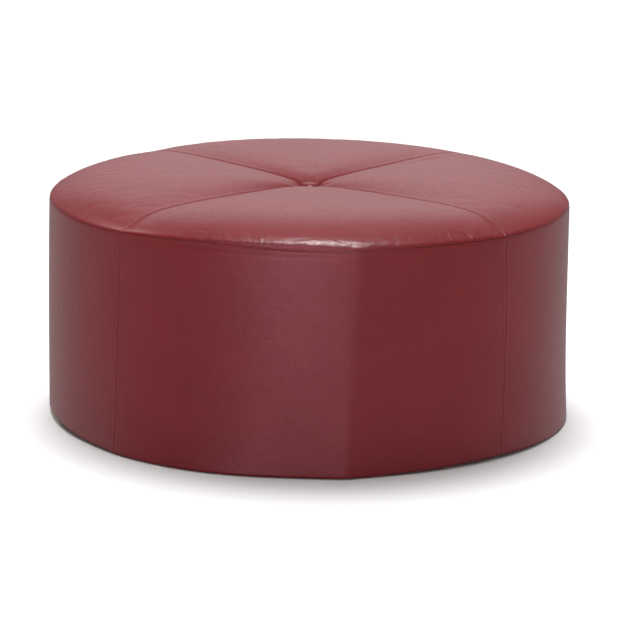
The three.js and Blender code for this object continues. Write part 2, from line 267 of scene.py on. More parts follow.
def row_turns(step):
    """Turns of the crown's rows, which lie closer near the button and on the shoulder, and end in the fold.

    Also each row's distance from the rim seam."""
    turn = np.linspace(np.arcsin(5 * MM / RADIUS), pi / 2, 4001)
    radius, height = crown_base(turn, np.zeros_like(turn))
    length = np.concatenate([[0], np.cumsum(np.hypot(np.diff(radius), np.diff(height)))])
    stops = [0.0]
    while stops[-1] < length[-1] - 8 * MM:
        left = length[-1] - stops[-1]
        close = 0.38 if left < 60 * MM else 1.0
        close = 0.45 if stops[-1] < 40 * MM else close
        stops.append(stops[-1] + step * close)
    stops = [s for s in stops if s < length[-1] - 6.5 * MM]
    stops += list(length[-1] - EDGE[:8][::-1])
    return np.interp(stops, length, turn), length[-1] - np.array(stops)


# ---------------------------------------------------------------- meshes
def mesh_piece(name, points, faces, material):
    """A smooth-shaded piece from its points and faces."""
    mesh = bpy.data.meshes.new(name)
    mesh.from_pydata(np.reshape(points, (-1, 3)).tolist(), [], faces)
    mesh.update()
    mesh.polygons.foreach_set("use_smooth", np.ones(len(mesh.polygons), bool))
    piece = bpy.data.objects.new(name, mesh)
    bpy.context.scene.collection.objects.link(piece)
    piece.data.materials.append(material)
    return piece


def grid_object(name, points, material, closed=False):
    """A piece from a grid of points; closed joins the last column to the first."""
    rows, columns = points.shape[:2]
    index = np.arange(rows * columns).reshape(rows, columns)
    if closed:
        index = np.concatenate([index, index[:, :1]], 1)
    quads = np.stack([index[:-1, :-1], index[1:, :-1], index[1:, 1:], index[:-1, 1:]], -1)
    return mesh_piece(name, points, quads.reshape(-1, 4).tolist(), material)


def add_bar(points, faces, rings):
    """Adds a closed bar to a list of points and a list of faces, from the rings of points along it."""
    first, sides = len(points), len(rings[0])
    last = first + sides * (len(rings) - 1)
    for start in range(first, last, sides):
        for j in range(sides):
            a, b = start + j, start + (j + 1) % sides
            faces.append((a, b, b + sides, a + sides))
    faces.append(tuple(range(first + sides - 1, first - 1, -1)))
    faces.append(tuple(range(last, last + sides)))
    for ring in rings:
        points.extend(ring)


def add_flanges(points, normal, rim_first):
    """Turns a panel's two side edges and its rim edge down into the seams, as the sewn allowance is."""
    left = points[:, :1] - normal[:, :1] * FLANGE[::-1][None, :, None]
    right = points[:, -1:] - normal[:, -1:] * FLANGE[None, :, None]
    points = np.concatenate([left, points, right], 1)
    beside = [np.repeat(normal[:, k : k + 1], len(FLANGE), 1) for k in (0, normal.shape[1] - 1)]
    normal = np.concatenate([beside[0], normal, beside[1]], 1)
    if rim_first:
        return np.concatenate([points[:1] - normal[:1] * FLANGE[::-1][:, None, None], points], 0)
    return np.concatenate([points, points[-1:] - normal[-1:] * FLANGE[:, None, None]], 0)


def thicken(piece, thickness):
    """Gives a leather panel its thickness, inwards."""
    solid = piece.modifiers.new("thickness", "SOLIDIFY")
    solid.thickness = thickness
    solid.offset = -1
    solid.use_rim = True
    return piece


# ---------------------------------------------------------------- cover
CELL = 6 * MM  # of the cloth that is simulated
LAST_FRAME = 20  # of the simulation
TOP_ROW = 5.2 * MM  # from row to row of a top panel's mesh
TOP_COLUMNS = 262
SIDE_COLUMNS = 190


def pucker_marks():
    """Puckers and lumps of the shoulder, strongest at the right of the front."""
    marks = []
    spots = [rng.uniform(27, 44, 36), rng.uniform(-32, 27, 80), rng.uniform(46, 325, 150)]
    for bearing in np.concatenate(spots):
        strong = 2.1 if 27 < bearing < 44 else 0.4 if -10 < bearing <= 27 else 1.0
        marks.append((
            bearing, rng.uniform(2, 26) * MM, rng.uniform(-0.45, 0.3), rng.uniform(4, 16) * MM,
            rng.uniform(1.2, 3) * MM, strong * rng.uniform(0.12, 0.42) * MM * rng.choice([-1, 1]),
        ))
    # small flat lumps along the front of the shoulder
    for bearing in rng.uniform(-30, 22, 170):
        marks.append((
            bearing, rng.uniform(5, 26) * MM, rng.uniform(1.2, 1.9), rng.uniform(4, 12) * MM,
            rng.uniform(1.6, 3) * MM, rng.uniform(0.1, 0.26) * MM * rng.choice([-1, 1]),
        ))
    return marks


PUCKERS = pucker_marks()


def allowance_ridges(bearing, across, up):
    """The allowance's cut edges, which show through beside the two front seams near the rim."""
    right = bell(wrap(bearing - 45), 0, 8)
    left = bell(wrap(bearing + 45), 0, 8)
    ladder = 1 + 0.8 * right * np.cos(up / (5.5 * MM) * 2 * pi)
    near_rim = smooth(up, 6 * MM, 15 * MM) * (1 - smooth(up, 40 * MM, 85 * MM))
    size = np.where(np.abs(wrap(bearing)) < 45, 1.3, 0.8) * MM
    return size * (right + left) * ladder * near_rim * bell(across, 5 * MM, 1.4 * MM)


def top_details(bearing, radius, up):
    """Displacement of the crown's leather: shoulder puckers, folds at the button, long soft wrinkles."""
    total = creases(bearing, up, PUCKERS)
    # folds that run into the button
    fold = np.cos(np.radians(bearing) * 12 + 0.7 * np.sin(np.radians(bearing) * 3))
    total += 0.5 * MM * fold * bell(radius, 24 * MM, 16 * MM)
    # long wrinkles, nearly parallel to the front, strongest on the left panel
    y = -radius * np.cos(np.radians(bearing))
    x = radius * np.sin(np.radians(bearing))
    left = smooth(-x, 0.05, 0.2)
    lines = np.sin(y / 0.0105 + 1.5 * np.sin(x / 0.06) + 0.8 * np.sin(y / 0.031 + x / 0.11))
    total += 0.08 * MM * lines * left * smooth(up, 0.02, 0.07)
    # a soft fold in the right panel, along its seam with the back one
    along, off = (x + y) / np.sqrt(2), (x - y) / np.sqrt(2)
    total += 2 * MM * bell(off, 28 * MM, 7 * MM) * bell(along, 0.27, 0.09)
    return total


def crown_height(x, y):
    """Height of the crown's smooth surface over a point."""
    turn = np.arcsin(np.clip(np.hypot(x, y) / RADIUS, 0, 1))
    return crown_base(turn, np.degrees(np.arctan2(x, -y)))[1]


def blurred(field, inside, width):
    """Gaussian blur of a grid over the cells that are inside; width is in cells."""
    reach = int(3 * width)
    kernel = np.exp(-0.5 * (np.arange(-reach, reach + 1) / width) ** 2)
    both = [field * inside, inside.astype(float)]
    for axis in (0, 1):
        both = [np.apply_along_axis(np.convolve, axis, f, kernel, "same") for f in both]
    return both[0] / np.maximum(both[1], 1e-9)


def simulate_crown():
    """Inflates the crown's leather, held at the rim, seams and button, and cut a little too big for the foam.

    Returns the wrinkles that form, as a square grid of heights over the crown, CELL apart."""
    axis = np.arange(-RADIUS, RADIUS + CELL, CELL)
    x, y = np.meshgrid(axis, axis, indexing="ij")
    radius = np.hypot(x, y)
    inside = radius < 0.985 * RADIUS
    slack = 3 * MM * smooth(RADIUS - radius, 0, 60 * MM) * smooth(radius, 30 * MM, 90 * MM)
    start = np.where(inside, crown_height(x, y) - slack, 0)
    index = np.full(x.shape, -1)
    index[inside] = np.arange(inside.sum())
    corners = np.stack([index[:-1, :-1], index[1:, :-1], index[1:, 1:], index[:-1, 1:]], -1).reshape(-1, 4)
    quads = corners[(corners >= 0).all(1)]
    mesh = bpy.data.meshes.new("crown_cloth")
    mesh.from_pydata(np.stack([x[inside], y[inside], start[inside]], 1).tolist(), [], quads.tolist())
    piece = bpy.data.objects.new("crown_cloth", mesh)
    bpy.context.scene.collection.objects.link(piece)
    seam = np.abs(np.abs(x) - np.abs(y)) / np.sqrt(2)
    held = (radius > 0.965 * RADIUS) | (seam < 0.8 * CELL) | (radius < 22 * MM)
    pins = piece.vertex_groups.new(name="held")
    pins.add(index[inside & held].tolist(), 1.0, "REPLACE")
    cloth = piece.modifiers.new("cloth", "CLOTH")
    settings = cloth.settings
    settings.vertex_group_mass = "held"
    settings.quality = 6
    settings.mass = 0.5
    settings.tension_stiffness = settings.compression_stiffness = 40
    settings.bending_stiffness = 1.5
    settings.use_pressure = True
    settings.uniform_pressure_force = 4
    settings.shrink_min = -0.012
    settings.effector_weights.gravity = 0
    cloth.collision_settings.use_collision = False
    scene = bpy.context.scene
    for step in range(1, LAST_FRAME + 1):
        scene.frame_set(step)
    result = piece.evaluated_get(bpy.context.evaluated_depsgraph_get()).to_mesh()
    points = np.zeros(len(result.vertices) * 3)
    result.vertices.foreach_get("co", points)
    moved = np.zeros(x.shape)
    moved[inside] = points.reshape(-1, 3)[:, 2] - start[inside]
    scene.frame_set(1)
    bpy.data.objects.remove(piece)
    moved = np.clip(moved, -22 * MM, 22 * MM)
    return (moved - blurred(moved, inside, 26 * MM / CELL)) * inside


def sampled(grid, x, y):
    """The grid's value over each point, between its four nearest cells."""
    u, v = (x + RADIUS) / CELL, (y + RADIUS) / CELL
    i, j = np.clip(u.astype(int), 0, len(grid) - 2), np.clip(v.astype(int), 0, len(grid) - 2)
    a, b = np.clip(u - i, 0, 1), np.clip(v - j, 0, 1)
    near = grid[i, j] * (1 - b) + grid[i, j + 1] * b
    far = grid[i + 1, j] * (1 - b) + grid[i + 1, j + 1] * b
    return near * (1 - a) + far * a


def make_top(place_name, middle, material):
    """One quarter of the crown's leather; middle is the bearing of its middle."""
    turns, up = row_turns(TOP_ROW)
    reach = RADIUS * np.sin(turns)
    arcs = spaced(reach * QUARTER, TOP_COLUMNS)
    bearing = np.degrees(arcs / reach[:, None]) - 45 + middle
    turn = np.repeat(turns[:, None], arcs.shape[1], 1)
    points = crown_points(turn, bearing)
    radius = np.hypot(points[..., 0], points[..., 1])
    n = normals(points)
    across = np.minimum(arcs, (reach * QUARTER)[:, None] - arcs)
    rise = np.repeat(up[:, None], arcs.shape[1], 1)
    # the seam's fold fades out under the button
    near_button = smooth(radius, 6 * MM, 22 * MM)
    beside = across / np.maximum(near_button, 0.05)
    shift = seam_section(np.minimum(beside, rise), np.where(rise < beside, SHARP_ROLL, ROLL))
    # the simulated wrinkles, strongest on the left
    wrinkles = sampled(WRINKLES, points[..., 0], points[..., 1])
    share = 0.12 + 0.06 * smooth(-points[..., 0], 0.0, 0.15)
    shift += np.clip(share * wrinkles, -0.8 * MM, 1.2 * MM) * smooth(across, 2 * MM, 14 * MM)
    shift += top_details(bearing, radius, rise) * smooth(across, 0, 8 * MM) * smooth(rise, 0, 6 * MM)
    shift += allowance_ridges(bearing, across, rise)
    points = points + n * shift[..., None]
    points = add_flanges(points, n, rim_first=False)
    piece = grid_object(f"leather_top_{place_name}", points, material)
    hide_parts(f"top_panel_{place_name}")
    return thicken(piece, THICK)


def drag_marks():
    """Upright drag lines of the side's leather, below the rim."""
    marks = []
    spots = np.concatenate([
        rng.uniform(-52, -38, 9), rng.uniform(14, 32, 10), rng.uniform(40, 75, 12),
        rng.uniform(-38, 14, 8), rng.uniform(75, 308, 70),
    ])
    for bearing in spots:
        marks.append((
            bearing, rng.uniform(0, 22) * MM, rng.uniform(-0.2, 0.2), rng.uniform(8, 34) * MM,
            rng.uniform(1.8, 4.5) * MM, rng.uniform(0.08, 0.28) * MM * rng.choice([-1, 1]),
        ))
    # one short deep crease on the right, with a ridge beside it
    marks.append((80.0, 17 * MM, 0.0, 8 * MM, 2 * MM, -0.9 * MM))
    marks.append((78.6, 17 * MM, 0.0, 8 * MM, 2 * MM, 0.5 * MM))
    return marks


DRAGS = drag_marks()


def side_rows():
    """Distances down the side from the rim seam, round the turn and along the hem.

    Also the lengths of the upright wall and of the turn."""
    wall = RIM - BASE - CORNER
    rows = list(EDGE[:8])
    while rows[-1] < wall - 1 * MM:
        near = min(rows[-1], wall - rows[-1])
        rows.append(rows[-1] + (2.2 if near < 70 * MM else 5) * MM)
    rows = [r for r in rows if r < wall - 1 * MM] + [wall]
    turn = CORNER * pi / 2
    rows += list(wall + turn * np.linspace(0, 1, 9)[1:])
    rows += list(wall + turn + HEM * np.linspace(0, 1, 8)[1:])
    return np.array(rows), wall, turn


def side_base(down, bearing, wall, turn):
    """Points of the side's smooth surface, by distance from the rim seam and bearing in degrees."""
    level = np.clip(1 - down / wall, 0, 1)
    top = RIM + rim_lift(bearing) - SEAM_GAP
    corner_level = hem_level(bearing) + CORNER
    height = corner_level + (top - corner_level) * level
    radius = side_radius(bearing, level)
    angle = np.clip((down - wall) / CORNER, 0, pi / 2)
    radius = radius - CORNER * (1 - np.cos(angle))
    height = height - CORNER * np.sin(angle)
    beyond = np.clip(down - wall - turn, 0, None)
    radius = radius - beyond
    height = height + (BASE - hem_level(bearing)) * smooth(beyond, 0, 0.8 * HEM)
    return place(radius, bearing + seam_drift(bearing, level), height)


def make_side(place_name, middle, material):
    """One quarter of the side's leather, with its turned hem."""
    rows, wall, turn = side_rows()
    arcs = spaced(np.full(len(rows), RADIUS * QUARTER), SIDE_COLUMNS)
    bearing = np.degrees(arcs / RADIUS) - 45 + middle
    down = np.repeat(rows[:, None], arcs.shape[1], 1)
    points = side_base(down, bearing, wall, turn)
    n = normals(points)
    across = np.minimum(arcs, RADIUS * QUARTER - arcs)
    beside = 1.6 * across  # the upright folds are tighter than a top seam's
    shift = seam_section(np.minimum(down, beside), np.where(down < beside, SHARP_ROLL, ROLL))
    shift += creases(bearing, down, DRAGS) * smooth(across, 0, 8 * MM) * smooth(down, 0, 5 * MM)
    points = points + n * shift[..., None]
    points = add_flanges(points, n, rim_first=True)
    piece = grid_object(f"leather_side_{place_name}", points, material)
    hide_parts(f"side_panel_{place_name}")
    return thicken(piece, THICK)


# ---------------------------------------------------------------- materials
def node_material(name):
    material = bpy.data.materials.new(name)
    material.use_nodes = True
    return material, material.node_tree


def surfaced(material, colour, roughness, normal):
    """The material, with its colour, roughness and bump linked to its shader."""
    shader = material.node_tree.nodes["Principled BSDF"]
    for socket, source in (("Base Color", colour), ("Roughness", roughness), ("Normal", normal)):
        material.node_tree.links.new(source, shader.inputs[socket])
    return material


def add(tree, kind, **values):
    """A node with the given inputs and settings; an input may be another node's output."""
    node = tree.nodes.new("ShaderNode" + kind)
    for key, value in values.items():
        if isinstance(value, bpy.types.NodeSocket):
            tree.links.new(value, node.inputs[key])
        elif key in node.inputs.keys():
            node.inputs[key].default_value = value
        else:
            setattr(node, key, value)
    return node


def own_place(tree):
    """Coordinates in the piece's own frame, in metres."""
    return add(tree, "TexCoord").outputs["Object"]


def stretched(tree, *scale):
    """Those coordinates scaled along each axis, for grain and fibres that run one way."""
    return add(tree, "Mapping", Vector=own_place(tree), Scale=scale).outputs["Vector"]


def ramp(tree, source, stops):
    """A colour ramp. A stop is a position and a colour, or a position and one grey value."""
    node = add(tree, "ValToRGB", Fac=source)
    elements = node.color_ramp.elements
    while len(elements) < len(stops):
        elements.new(0.5)
    for element, (at, colour) in zip(elements, stops):
        element.position = at
        element.color = (*colour, 1) if isinstance(colour, tuple) else (colour, colour, colour, 1)
    return node.outputs["Color"]


def span(tree, source, low, high, source_low=0.0, source_high=1.0):
    """The source, brought from its own range into low to high."""
    limits = {"From Min": source_low, "From Max": source_high, "To Min": low, "To Max": high}
    return add(tree, "MapRange", Value=source, **limits).outputs["Result"]


def texture(tree, kind, where, output, **values):
    return add(tree, "Tex" + kind, Vector=where, **values).outputs[output]


def noise(tree, where, scale, detail=4, rough=0.5, distortion=0.0):
    values = {"Scale": scale, "Detail": detail, "Roughness": rough, "Distortion": distortion}
    return texture(tree, "Noise", where, "Fac", **values)


def bump(tree, height, strength, distance, normal=None):
    """A normal, roughened by a height; distance is in metres."""
    node = add(tree, "Bump", Height=height, Strength=strength, Distance=distance)
    if normal is not None:
        tree.links.new(normal, node.inputs["Normal"])
    return node.outputs["Normal"]


def mixed(tree, factor, first, second, blend="MIX"):
    """Two colours mixed by a factor; each may be a value or another node's output."""
    node = add(tree, "Mix", data_type="RGBA", blend_type=blend)
    for name, source in (("Factor", factor), ("A", first), ("B", second)):
        socket = next(i for i in node.inputs if i.name == name and i.enabled)
        if isinstance(source, bpy.types.NodeSocket):
            tree.links.new(source, socket)
        else:
            socket.default_value = source
    return next(o for o in node.outputs if o.enabled)


LEATHER = (0.208, 0.011, 0.0165)
LEATHER_DARK = (0.184, 0.009, 0.013)
PINE_DARK = (0.5, 0.3, 0.13)
PINE_LIGHT = (0.72, 0.52, 0.3)


def leather_material():
    """Smooth pigmented leather: soft clouds of colour, faint creases and a fine grain."""
    material, tree = node_material("oxblood_leather")
    where = own_place(tree)
    colour = ramp(tree, noise(tree, where, 9, 5, 0.55), [(0.3, LEATHER_DARK), (0.7, LEATHER)])
    rough = span(tree, noise(tree, where, 220, 3, 0.6), 0.34, 0.46, 0.3, 0.7)
    pebble = texture(tree, "Voronoi", where, "Distance", Scale=620, feature="SMOOTH_F1")
    normal = bump(tree, noise(tree, where, 34, 5, 0.6, 0.4), 0.6, 1.2 * MM)
    normal = bump(tree, noise(tree, where, 150, 3, 0.6, 0.6), 0.5, 0.4 * MM, normal)
    normal = bump(tree, pebble, 0.12, 0.15 * MM, normal)
    tree.nodes["Principled BSDF"].inputs["Specular IOR Level"].default_value = 0.42
    return surfaced(material, colour, rough, normal)


def fibre_material(name, dark, light, scale, rough=0.9, depth=0.6):
    """Matted fibres, such as wadding or hardboard."""
    material, tree = node_material(name)
    where = own_place(tree)
    mat = noise(tree, where, scale, 8, 0.7, 2.5)
    cloud = noise(tree, where, scale / 9, 3)
    both = add(tree, "Math", operation="ADD")
    tree.links.new(mat, both.inputs[0])
    tree.links.new(cloud, both.inputs[1])
    colour = ramp(tree, both.outputs[0], [(0.6, dark), (1.3, light)])
    roughness = span(tree, mat, rough - 0.12, rough, 0.3, 0.7)
    return surfaced(material, colour, roughness, bump(tree, mat, 0.7, depth * MM))


def foam_material():
    """Cut polyurethane foam: open cells, slightly yellowed in patches."""
    material, tree = node_material("cut_foam")
    where = own_place(tree)
    cells = texture(tree, "Voronoi", where, "Distance", Scale=900)
    colour = ramp(tree, noise(tree, where, 7, 4), [(0.35, (0.72, 0.58, 0.3)), (0.7, (0.82, 0.74, 0.5))])
    return surfaced(material, colour, span(tree, cells, 0.8, 1.0), bump(tree, cells, 0.8, 0.5 * MM))


def wood_material(name, dark, light, along, ring=60):
    """Sawn wood with its grain along one axis: "y" or "z"."""
    material, tree = node_material(name)
    squash = 14  # how much longer the grain is than wide
    scale = {"y": (squash, 1, squash), "z": (squash, squash, 1)}[along]
    where = stretched(tree, *scale)
    rings = noise(tree, where, ring / squash, 6, 0.6, 1.2)
    pores = noise(tree, where, ring * 2, 3, 0.7)
    colour = ramp(tree, rings, [(0.35, dark), (0.5, light), (0.62, dark), (0.75, light)])
    rough = span(tree, pores, 0.55, 0.8, 0.3, 0.7)
    return surfaced(material, colour, rough, bump(tree, pores, 0.4, 0.25 * MM))


def plywood_material():
    """Poplar plywood: face grain, and the plies' light and dark bands on a cut edge."""
    material, tree = node_material("plywood_sheet")
    grain = noise(tree, stretched(tree, 1, 16, 16), 5, 6, 0.6, 1.0)
    face = ramp(tree, grain, [(0.3, (0.42, 0.26, 0.12)), (0.7, (0.62, 0.44, 0.24))])
    plies = texture(tree, "Wave", own_place(tree), "Fac", bands_direction="Z", Scale=52, Distortion=0.6)
    edge = ramp(tree, plies, [(0.35, (0.3, 0.17, 0.07)), (0.6, (0.62, 0.46, 0.27))])
    up = add(tree, "SeparateXYZ", Vector=add(tree, "NewGeometry").outputs["Normal"])
    level = add(tree, "Math", operation="ABSOLUTE", Value=up.outputs["Z"])
    colour = mixed(tree, level.outputs["Value"], edge, face)
    return surfaced(material, colour, span(tree, grain, 0.6, 0.8, 0.3, 0.7), bump(tree, grain, 0.3, 0.2 * MM))


def cord_material(name, scale, colours, rough, depth, distortion=0.0):
    """Laid thread or twine: its strands run across it at a slant."""
    material, tree = node_material(name)
    slant = {"bands_direction": "DIAGONAL", "Scale": scale, "Distortion": distortion}
    lay = texture(tree, "Wave", own_place(tree), "Fac", **slant)
    roughness = span(tree, lay, rough, rough + 0.2)
    return surfaced(material, ramp(tree, lay, colours), roughness, bump(tree, lay, *depth))


def dust_cloth_material():
    """Black spunbond cloth: a grid of small melted dots over random fibres."""
    material, tree = node_material("spunbond_cloth")
    where = own_place(tree)
    dots = texture(tree, "Voronoi", where, "Distance", Scale=420, Randomness=0.15)
    fibres = noise(tree, where, 300, 6, 0.7, 3)
    colour = ramp(tree, fibres, [(0.3, (0.008, 0.008, 0.009)), (0.75, (0.03, 0.03, 0.033))])
    return surfaced(material, colour, span(tree, dots, 0.5, 0.85, 0.0, 0.5), bump(tree, dots, 0.6, 0.25 * MM))


def plastic_material():
    """Moulded black plastic with a spark-eroded texture and scuffs."""
    material, tree = node_material("moulded_plastic")
    where = own_place(tree)
    grain = noise(tree, where, 1500, 3, 0.6)
    scuffs = noise(tree, where, 90, 6, 0.8, 4)
    colour = ramp(tree, scuffs, [(0.55, (0.012, 0.012, 0.013)), (0.8, (0.05, 0.05, 0.052))])
    rough = span(tree, scuffs, 0.4, 0.65, 0.4, 0.7)
    return surfaced(material, colour, rough, bump(tree, grain, 0.4, 0.05 * MM))


def steel_material():
    """Zinc-plated steel: drawn lines and faint clouding."""
    material, tree = node_material("zinc_plate")
    lines = noise(tree, stretched(tree, 1, 1, 22), 60, 5, 0.7)
    cloud = noise(tree, own_place(tree), 45, 4)
    colour = ramp(tree, cloud, [(0.3, (0.45, 0.46, 0.48)), (0.7, (0.66, 0.66, 0.63))])
    tree.nodes["Principled BSDF"].inputs["Metallic"].default_value = 1
    rough = span(tree, lines, 0.25, 0.5, 0.3, 0.7)
    return surfaced(material, colour, rough, bump(tree, lines, 0.2, 0.05 * MM))


def floor_material():
    material, tree = node_material("studio_floor")
    shader = tree.nodes["Principled BSDF"]
    shader.inputs["Base Color"].default_value = (0.9, 0.9, 0.9, 1)
    shader.inputs["Roughness"].default_value = 0.9
    return material


def finish_frame(materials, lying_pine):
    """Gives every carried-over CAD node its slot's material; the stretchers' grain runs along them."""
    for name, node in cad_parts.items():
        lying = name.startswith("deck_stretcher")
        for place_in_list, old in enumerate(node.data.materials):
            node.data.materials[place_in_list] = lying_pine if lying else materials[old.name.split(".")[0]]


# ---------------------------------------------------------------- stuffing
TWINE_HOLE = 6 * MM  # radius of the hole through the wadding and the foams


def closed_skin(name, upper, lower, material):
    """A ring-shaped body from two grids of points that share their bearings: its top and its underside."""
    return grid_object(name, np.concatenate([upper, lower[::-1], upper[:1]]), material, closed=True)


def crown_layer(inset, inner, outer, bearing):
    """Points of the crown's surface sunk by inset, from radius inner to radius outer."""
    turn = np.linspace(np.arcsin(inner / RADIUS), pi / 2, 90)[:, None]
    turn, b = np.broadcast_arrays(turn, bearing[None, :])
    points = crown_points(turn, b)
    radius = np.hypot(points[..., 0], points[..., 1])
    near = seam_near(b)[1]
    pinch = 2.5 * MM * np.exp(-(1 - near) * 45 * np.radians(1) * radius / (9 * MM))
    pinch = pinch + 3 * MM * smooth(radius / RADIUS, 0.96, 1)
    points = points - normals(points) * (inset + pinch)[..., None]
    reach = np.hypot(points[..., 0], points[..., 1])
    points[..., :2] *= (np.minimum(reach, outer) / reach)[..., None]
    return points


def make_crown_stuffing(foam, wadding):
    """The wadding under the crown's leather, and the domed foam under that."""
    bearing = bearings(288)
    low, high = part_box("top_batting")
    upper = crown_layer(3.4 * MM, TWINE_HOLE, high.x, bearing)
    lower = crown_layer(8.2 * MM, TWINE_HOLE, high.x - 5 * MM, bearing)
    batting = closed_skin("wadding_crown", upper, lower, wadding)
    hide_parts("top_batting")
    low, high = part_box("crown_foam")
    upper = crown_layer(8.6 * MM, TWINE_HOLE, high.x, bearing)
    upper[..., 2] = np.maximum(upper[..., 2], low.z + 0.4 * MM)
    under = place(np.hypot(upper[..., 0], upper[..., 1]), bearing, low.z)
    crown = closed_skin("foam_crown", upper, under, foam)
    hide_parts("crown_foam")
    return [(batting, "batting"), (crown, "foam")]


def make_seat_foam(foam):
    """The foam slab on the deck. Its cut edge bulges, and the twine's hole goes through it."""
    low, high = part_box("seat_foam")
    bearing = bearings(240)
    radii = np.linspace(0.06, 0.99, 14) * high.x
    rows = []
    for radius in (TWINE_HOLE, *radii):
        rows.append(place(radius, bearing, high.z))
    for share in np.linspace(0, 1, 15):
        squeeze = 2.4 * MM * (2 * share - 1) ** 2 + 0.5 * MM * (1 + waves(bearing, 21, 5, 3, 14))
        corner = 3.5 * MM * (max(0, abs(2 * share - 1) - 0.8) / 0.2) ** 2
        rows.append(place(high.x - squeeze - corner, bearing, high.z + (low.z - high.z) * share))
    for radius in (*radii[::-1], TWINE_HOLE):
        rows.append(place(radius, bearing, low.z))
    slab = grid_object("foam_slab", np.array(rows + rows[:1]), foam, closed=True)
    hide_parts("seat_foam")
    return [(slab, "foam")]


def make_side_foam(foam):
    """Thin foam wrapped round the hardboard, pressed against the leather."""
    low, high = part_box("side_foam_wrap")
    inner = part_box("seat_foam")[1].x + 0.3 * MM
    bearing = bearings(360)
    heights = np.linspace(high.z, low.z, 60)
    rows = []
    for z in heights:
        level = np.clip((z - BASE - CORNER) / (RIM - BASE - CORNER), 0, 1)
        turn_in = CORNER - np.sqrt(max(0, CORNER**2 - max(0, BASE + CORNER - z) ** 2))
        inset = 2.6 * MM + 3 * MM * smooth(level, 0.95, 1)
        rows.append(place(side_radius(bearing, level) - inset - turn_in, bearing, z))
    for z in heights[::-1]:
        rows.append(place(inner, bearing, z))
    wrap_foam = grid_object("foam_side", np.array(rows + rows[:1]), foam, closed=True)
    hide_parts("side_foam_wrap")
    return [(wrap_foam, "foam")]


# ---------------------------------------------------------------- button, stitches and underside
def make_button(material):
    """The covered button: leather drawn over a domed shell and gathered underneath."""
    low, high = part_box("button_cover")
    rise = high.z - low.z + 2.8 * MM  # the wadding under the leather cap
    skirt = 1.2 * MM  # the upright edge below the dome
    bearing = bearings(96)
    angle = np.radians(bearing)
    rows = []
    for turn in np.linspace(0.02, 1, 26) * pi / 2:
        radius = BUTTON * sin(turn) ** 0.8 * (1 + 0.012 * np.sin(3 * angle + 1))
        height = low.z + skirt + (rise - skirt) * np.cos(turn) ** 0.7 * (1 + 0.02 * np.cos(2 * angle))
        rows.append(place(radius, bearing, height))
    for share in np.linspace(0.15, 1, 8):
        gather = 0.5 * MM * np.abs(np.sin(9 * angle)) * share
        radius = BUTTON - 0.9 * MM * share - gather
        rows.append(place(radius, bearing, low.z + skirt * (1 - share)))
    button = grid_object("leather_button", np.array(rows), material, closed=True)
    thicken(button, 1.0 * MM)
    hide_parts("button_cover")
    return [(button, "cover_leather")]


def make_stitches(name, line, outward, material):
    """Stitches that bridge a seam's groove: short thick threads across the line, at a lockstitch's pitch."""
    along = np.concatenate([[0], np.cumsum(np.linalg.norm(np.diff(line, axis=0), axis=1))])
    stops = np.arange(STITCH / 2, along[-1], STITCH)

    def at(where, values):
        return np.stack([np.interp(where, along, values[:, k]) for k in range(3)], 1)

    run = at(stops + MM, line) - at(stops - MM, line)
    run /= np.linalg.norm(run, axis=1, keepdims=True)
    out = at(stops, outward)
    out -= run * (out * run).sum(1, keepdims=True)
    out /= np.linalg.norm(out, axis=1, keepdims=True)
    points, faces = [], []
    round_thread = np.linspace(0, 2 * pi, 7)[:-1]
    for centre, r, o, c in zip(at(stops, line), run, out, np.cross(run, out)):
        rings = []
        for share in np.linspace(-1, 1, 7):
            middle = centre + c * share * 1.25 * MM - o * (1.15 * MM + 0.5 * MM * share**2)
            size = 0.28 * MM * (1 - 0.35 * share**2)
            rings.append([middle + (r * cos(a) + o * sin(a)) * size for a in round_thread])
        add_bar(points, faces, rings)
    return mesh_piece(name, points, faces, material)


def stitch_seams(material):
    """Stitches along the four cross seams, the four side seams and the rim."""
    pieces = []
    wall, turn = side_rows()[1:]
    turns = np.linspace(np.arcsin(20 * MM / RADIUS), pi / 2 - 0.02, 300)[:, None]
    down = np.linspace(3 * MM, wall, 200)[:, None]
    for k, seam in enumerate(sorted(VALLEYS)):
        bearing = seam + np.array([[-0.3, 0, 0.3]])  # a narrow strip, for the surface's normal
        for kind, strip in (
            ("top", crown_points(*np.broadcast_arrays(turns, bearing))),
            ("side", side_base(*np.broadcast_arrays(down, bearing), wall, turn)),
        ):
            outward = normals(strip)[:, 1]
            pieces.append(make_stitches(f"stitches_{kind}_{k + 1}", strip[:, 1], outward, material))
    bearing = np.linspace(-180, 180, 1441)  # a quarter of a degree apart
    line = side_base(np.zeros(bearing.shape), bearing, wall, turn)
    pieces.append(make_stitches("stitches_rim", line, place(1, bearing, 0), material))
    return [(piece, "cover_leather") for piece in pieces]


STAPLES = 36
CLOTH_FOLD = 12 * MM


def make_dust_cover(cloth):
    """The black cloth under the base: stapled round its edge, which is folded under, and sagging a little."""
    low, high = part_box("dust_cover")
    edge, level = high.x, (low.z + high.z) / 2
    bearing = bearings(288)
    rows = []
    for share in np.concatenate([[0.5 * MM / edge], np.linspace(0.03, 0.96, 44), np.linspace(0.965, 1, 8)]):
        sag = 2.2 * MM * (1 - share**2) * (1 + 0.25 * waves(bearing, 31, 4, 1, 4))
        near_staples = smooth(share, 0.8, 1) * (1 - smooth(share, 0.97, 1))
        pull = 0.5 * MM * np.cos(np.radians(bearing) * STAPLES) * near_staples
        rows.append(place(edge * share, bearing, level - sag - pull))
    for share in np.linspace(0, 1, 5)[1:]:
        lift = 0.9 * MM * min(1, 4 * share)
        rows.append(place(edge - CLOTH_FOLD * share, bearing, level + lift))
    cover = grid_object("dust_cloth_base", np.array(rows), cloth, closed=True)
    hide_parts("dust_cover")
    return [(cover, "dust_cloth")]


